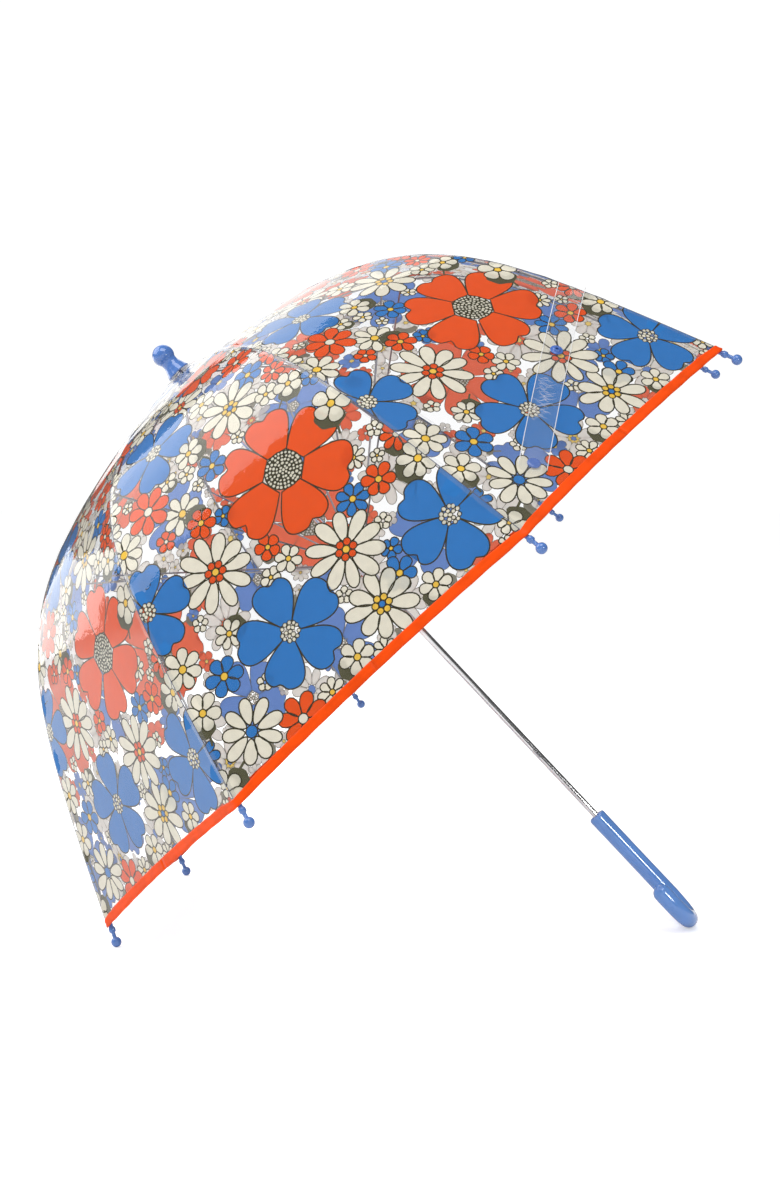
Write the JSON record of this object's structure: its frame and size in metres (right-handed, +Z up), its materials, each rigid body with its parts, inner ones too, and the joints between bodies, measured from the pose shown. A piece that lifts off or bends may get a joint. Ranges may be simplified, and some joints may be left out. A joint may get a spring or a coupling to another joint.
{
  "type": "children's umbrella",
  "caption": "Small dome umbrella with a clear flower-printed canopy, bright taped rim, ball-ended ribs, thin metal shaft and a plastic hook handle, lying open on its side.",
  "frame": {"origin": "on the ground under the middle of the umbrella's box, with the umbrella lying open on its two lowest rib tips and its hook", "axes": "+Z up; +X level, from the canopy towards the handle; the shaft leans 43.5 degrees from the upright, ferrule up and towards -X; +Y across the canopy"},
  "size_m": [0.5428, 0.6526, 0.5316],
  "materials": {
    "chrome": "bright plated steel tube, mirror polished",
    "steel_wire": "drawn steel wire, thinly plated",
    "blue_plastic": "glossy injection-moulded plastic, periwinkle blue",
    "clear_plastic": "clear moulded plastic, slightly milky",
    "clear_film": "clear glossy soft vinyl film with a printed retro flower pattern in orange, blue, cream, yellow and olive",
    "orange_tape": "folded orange vinyl tape, welded and stitched over the rim"
  },
  "bodies": {
    "shaft_body": {"shaft": "chrome", "stop_pin": "steel_wire", "ferrule": "blue_plastic", "crown_washer": "clear_plastic", "crown_hub": "clear_plastic", "crown_wire": "steel_wire", "handle": "blue_plastic"},
    "runner_body": {"runner": "clear_plastic", "runner_wire": "steel_wire"},
    "rib_body_1": {"rib_1": "steel_wire", "rib_tip_1": "blue_plastic", "canopy_panel_1": "clear_film", "hem_tape_1": "orange_tape", "strap": "clear_film", "snap_stud": "blue_plastic", "snap_socket": "blue_plastic"},
    "rib_body_2": {"rib_2": "steel_wire", "rib_tip_2": "blue_plastic", "canopy_panel_2": "clear_film", "hem_tape_2": "orange_tape"},
    "rib_body_3": {"rib_3": "steel_wire", "rib_tip_3": "blue_plastic", "canopy_panel_3": "clear_film", "hem_tape_3": "orange_tape"},
    "rib_body_4": {"rib_4": "steel_wire", "rib_tip_4": "blue_plastic", "canopy_panel_4": "clear_film", "hem_tape_4": "orange_tape"},
    "rib_body_5": {"rib_5": "steel_wire", "rib_tip_5": "blue_plastic", "canopy_panel_5": "clear_film", "hem_tape_5": "orange_tape"},
    "rib_body_6": {"rib_6": "steel_wire", "rib_tip_6": "blue_plastic", "canopy_panel_6": "clear_film", "hem_tape_6": "orange_tape"},
    "rib_body_7": {"rib_7": "steel_wire", "rib_tip_7": "blue_plastic", "canopy_panel_7": "clear_film", "hem_tape_7": "orange_tape"},
    "rib_body_8": {"rib_8": "steel_wire", "rib_tip_8": "blue_plastic", "canopy_panel_8": "clear_film", "hem_tape_8": "orange_tape"},
    "stretcher_body_1": {"stretcher_1": "steel_wire"},
    "stretcher_body_2": {"stretcher_2": "steel_wire"},
    "stretcher_body_3": {"stretcher_3": "steel_wire"},
    "stretcher_body_4": {"stretcher_4": "steel_wire"},
    "stretcher_body_5": {"stretcher_5": "steel_wire"},
    "stretcher_body_6": {"stretcher_6": "steel_wire"},
    "stretcher_body_7": {"stretcher_7": "steel_wire"},
    "stretcher_body_8": {"stretcher_8": "steel_wire"},
    "upper_catch_body": {"upper_catch": "steel_wire"},
    "lower_catch_body": {"lower_catch": "steel_wire"}
  },
  "joints": [
    {"name": "runner_slide", "type": "slide", "parent": "shaft_body", "child": "runner_body", "axis": [0.6887, 0, -0.7251], "range_m": [0, 0.20015], "deforming": ["canopy_panel_1", "canopy_panel_2", "canopy_panel_3", "canopy_panel_4", "canopy_panel_5", "canopy_panel_6", "canopy_panel_7", "canopy_panel_8", "hem_tape_1", "hem_tape_2", "hem_tape_3", "hem_tape_4", "hem_tape_5", "hem_tape_6", "hem_tape_7", "hem_tape_8", "strap", "upper_catch", "lower_catch"]},
    {"name": "rib_hinge_1", "type": "hinge", "parent": "shaft_body", "child": "rib_body_1", "pos_m": [-0.16627, -0.00287, 0.44654], "axis": [0.2775, 0.9239, 0.2635], "range_deg": [0, 48.19]},
    {"name": "rib_hinge_2", "type": "hinge", "parent": "shaft_body", "child": "rib_body_2", "pos_m": [-0.16921, -0.00693, 0.44374], "axis": [0.6699, 0.3827, 0.6363], "range_deg": [0, 48.19]},
    {"name": "rib_hinge_3", "type": "hinge", "parent": "shaft_body", "child": "rib_body_3", "pos_m": [-0.17338, -0.00693, 0.43979], "axis": [0.6699, -0.3827, 0.6363], "range_deg": [0, 48.19]},
    {"name": "rib_hinge_4", "type": "hinge", "parent": "shaft_body", "child": "rib_body_4", "pos_m": [-0.17632, -0.00287, 0.43699], "axis": [0.2775, -0.9239, 0.2635], "range_deg": [0, 48.19]},
    {"name": "rib_hinge_5", "type": "hinge", "parent": "shaft_body", "child": "rib_body_5", "pos_m": [-0.17632, 0.00287, 0.43699], "axis": [-0.2775, -0.9239, -0.2635], "range_deg": [0, 48.19]},
    {"name": "rib_hinge_6", "type": "hinge", "parent": "shaft_body", "child": "rib_body_6", "pos_m": [-0.17338, 0.00693, 0.43979], "axis": [-0.6699, -0.3827, -0.6363], "range_deg": [0, 48.19]},
    {"name": "rib_hinge_7", "type": "hinge", "parent": "shaft_body", "child": "rib_body_7", "pos_m": [-0.16921, 0.00693, 0.44374], "axis": [-0.6699, 0.3827, -0.6363], "range_deg": [0, 48.19]},
    {"name": "rib_hinge_8", "type": "hinge", "parent": "shaft_body", "child": "rib_body_8", "pos_m": [-0.16627, 0.00287, 0.44654], "axis": [-0.2775, 0.9239, -0.2635], "range_deg": [0, 48.19]},
    {"name": "stretcher_hinge_1", "type": "hinge", "parent": "runner_body", "child": "stretcher_body_1", "pos_m": [-0.0251, -0.00287, 0.2979], "axis": [-0.2775, -0.9239, -0.2635], "range_deg": [0, 31.95]},
    {"name": "stretcher_hinge_2", "type": "hinge", "parent": "runner_body", "child": "stretcher_body_2", "pos_m": [-0.02804, -0.00693, 0.29511], "axis": [-0.6699, -0.3827, -0.6363], "range_deg": [0, 31.95]},
    {"name": "stretcher_hinge_3", "type": "hinge", "parent": "runner_body", "child": "stretcher_body_3", "pos_m": [-0.0322, -0.00693, 0.29116], "axis": [-0.6699, 0.3827, -0.6363], "range_deg": [0, 31.95]},
    {"name": "stretcher_hinge_4", "type": "hinge", "parent": "runner_body", "child": "stretcher_body_4", "pos_m": [-0.03515, -0.00287, 0.28836], "axis": [-0.2775, 0.9239, -0.2635], "range_deg": [0, 31.95]},
    {"name": "stretcher_hinge_5", "type": "hinge", "parent": "runner_body", "child": "stretcher_body_5", "pos_m": [-0.03515, 0.00287, 0.28836], "axis": [0.2775, 0.9239, 0.2635], "range_deg": [0, 31.95]},
    {"name": "stretcher_hinge_6", "type": "hinge", "parent": "runner_body", "child": "stretcher_body_6", "pos_m": [-0.0322, 0.00693, 0.29116], "axis": [0.6699, 0.3827, 0.6363], "range_deg": [0, 31.95]},
    {"name": "stretcher_hinge_7", "type": "hinge", "parent": "runner_body", "child": "stretcher_body_7", "pos_m": [-0.02804, 0.00693, 0.29511], "axis": [0.6699, -0.3827, 0.6363], "range_deg": [0, 31.95]},
    {"name": "stretcher_hinge_8", "type": "hinge", "parent": "runner_body", "child": "stretcher_body_8", "pos_m": [-0.0251, 0.00287, 0.2979], "axis": [0.2775, -0.9239, 0.2635], "range_deg": [0, 31.95]},
    {"name": "upper_catch_press", "type": "slide", "parent": "shaft_body", "child": "upper_catch_body", "axis": [0, 1, 0], "range_m": [0, 0.0015], "stiffness_N_per_m": 600},
    {"name": "lower_catch_press", "type": "slide", "parent": "shaft_body", "child": "lower_catch_body", "axis": [0, 1, 0], "range_m": [0, 0.0015], "stiffness_N_per_m": 600}
  ],
  "couplings": [
    {"joint": "rib_hinge_1", "follows": "runner_slide", "rad_per_m": 4.2006},
    {"joint": "rib_hinge_2", "follows": "runner_slide", "rad_per_m": 4.2006},
    {"joint": "rib_hinge_3", "follows": "runner_slide", "rad_per_m": 4.2006},
    {"joint": "rib_hinge_4", "follows": "runner_slide", "rad_per_m": 4.2006},
    {"joint": "rib_hinge_5", "follows": "runner_slide", "rad_per_m": 4.2006},
    {"joint": "rib_hinge_6", "follows": "runner_slide", "rad_per_m": 4.2006},
    {"joint": "rib_hinge_7", "follows": "runner_slide", "rad_per_m": 4.2006},
    {"joint": "rib_hinge_8", "follows": "runner_slide", "rad_per_m": 4.2006},
    {"joint": "stretcher_hinge_1", "follows": "runner_slide", "rad_per_m": 2.784},
    {"joint": "stretcher_hinge_2", "follows": "runner_slide", "rad_per_m": 2.784},
    {"joint": "stretcher_hinge_3", "follows": "runner_slide", "rad_per_m": 2.784},
    {"joint": "stretcher_hinge_4", "follows": "runner_slide", "rad_per_m": 2.784},
    {"joint": "stretcher_hinge_5", "follows": "runner_slide", "rad_per_m": 2.784},
    {"joint": "stretcher_hinge_6", "follows": "runner_slide", "rad_per_m": 2.784},
    {"joint": "stretcher_hinge_7", "follows": "runner_slide", "rad_per_m": 2.784},
    {"joint": "stretcher_hinge_8", "follows": "runner_slide", "rad_per_m": 2.784}
  ]
}
